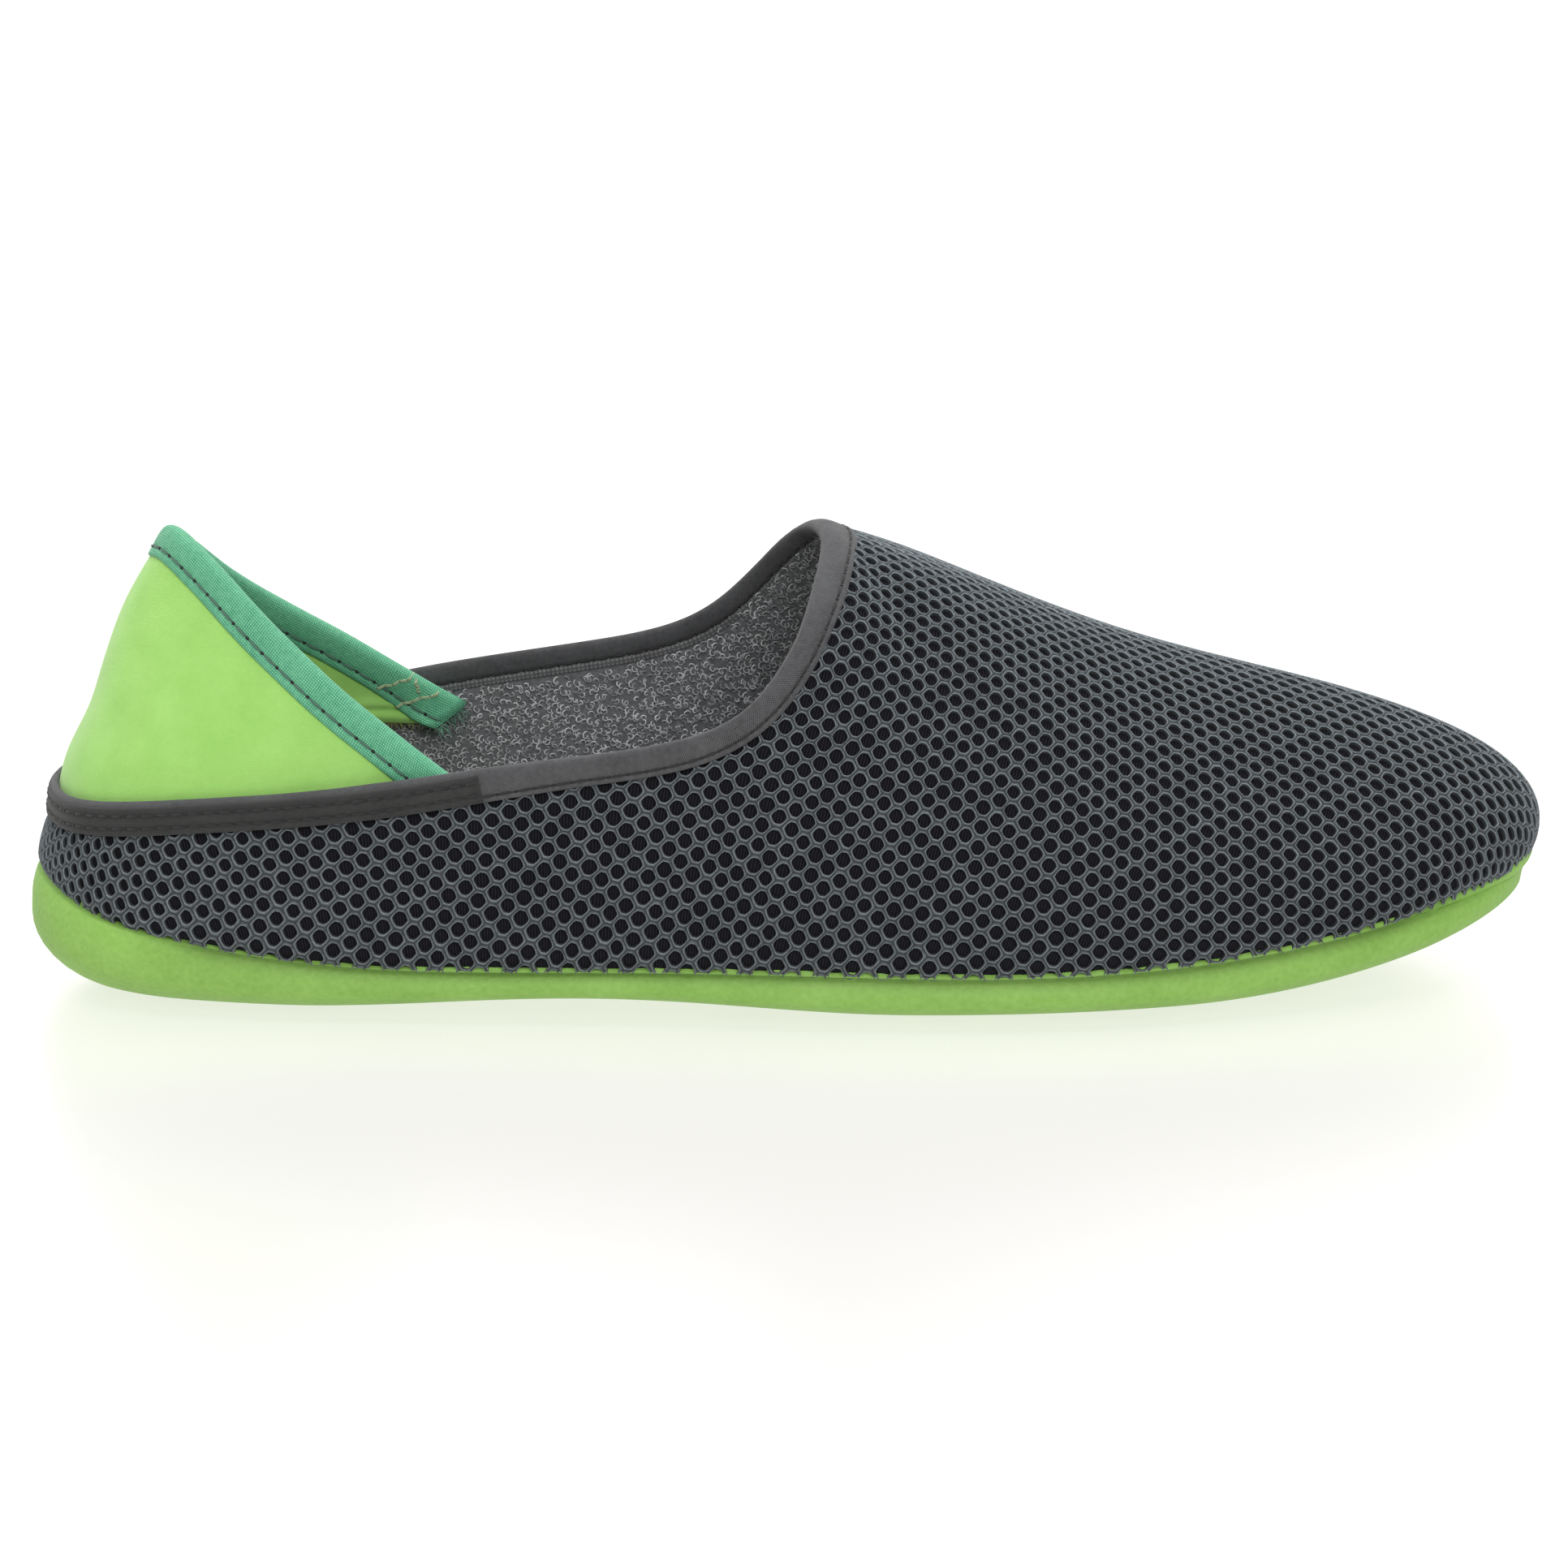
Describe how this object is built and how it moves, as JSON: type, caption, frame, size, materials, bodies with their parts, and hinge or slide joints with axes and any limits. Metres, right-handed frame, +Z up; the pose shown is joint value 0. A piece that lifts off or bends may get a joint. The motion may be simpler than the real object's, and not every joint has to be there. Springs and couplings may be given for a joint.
{
  "type": "mule slipper",
  "caption": "Closed-toe mule slipper with a hollow mesh upper, a low moulded foam sole, a taped collar and a stretch flap standing inside the open heel.",
  "frame": {"origin": "centre of the bounding box in plan, on the floor under the sole", "axes": "+X along the shoe from heel to toe, +Y towards the medial side, +Z up"},
  "size_m": [0.2752, 0.092, 0.0838],
  "materials": {
    "sole_foam": "moulded yellow-green foam, satin",
    "upper_mesh": "dark grey open-hole knit mesh, matt",
    "insole_terry": "grey looped terry, matt",
    "collar_tape": "grey twill tape, matt",
    "heel_tape": "grey twill tape, matt",
    "flap_cloth": "yellow-green stretch knit, matt",
    "flap_tape": "blue-green woven tape, matt"
  },
  "bodies": {
    "root": {"outsole": "sole_foam", "upper": "upper_mesh", "insole": "insole_terry", "collar_binding": "collar_tape", "heel_tape": "heel_tape", "heel_flap": "flap_cloth", "flap_binding": "flap_tape"}
  },
  "joints": []
}
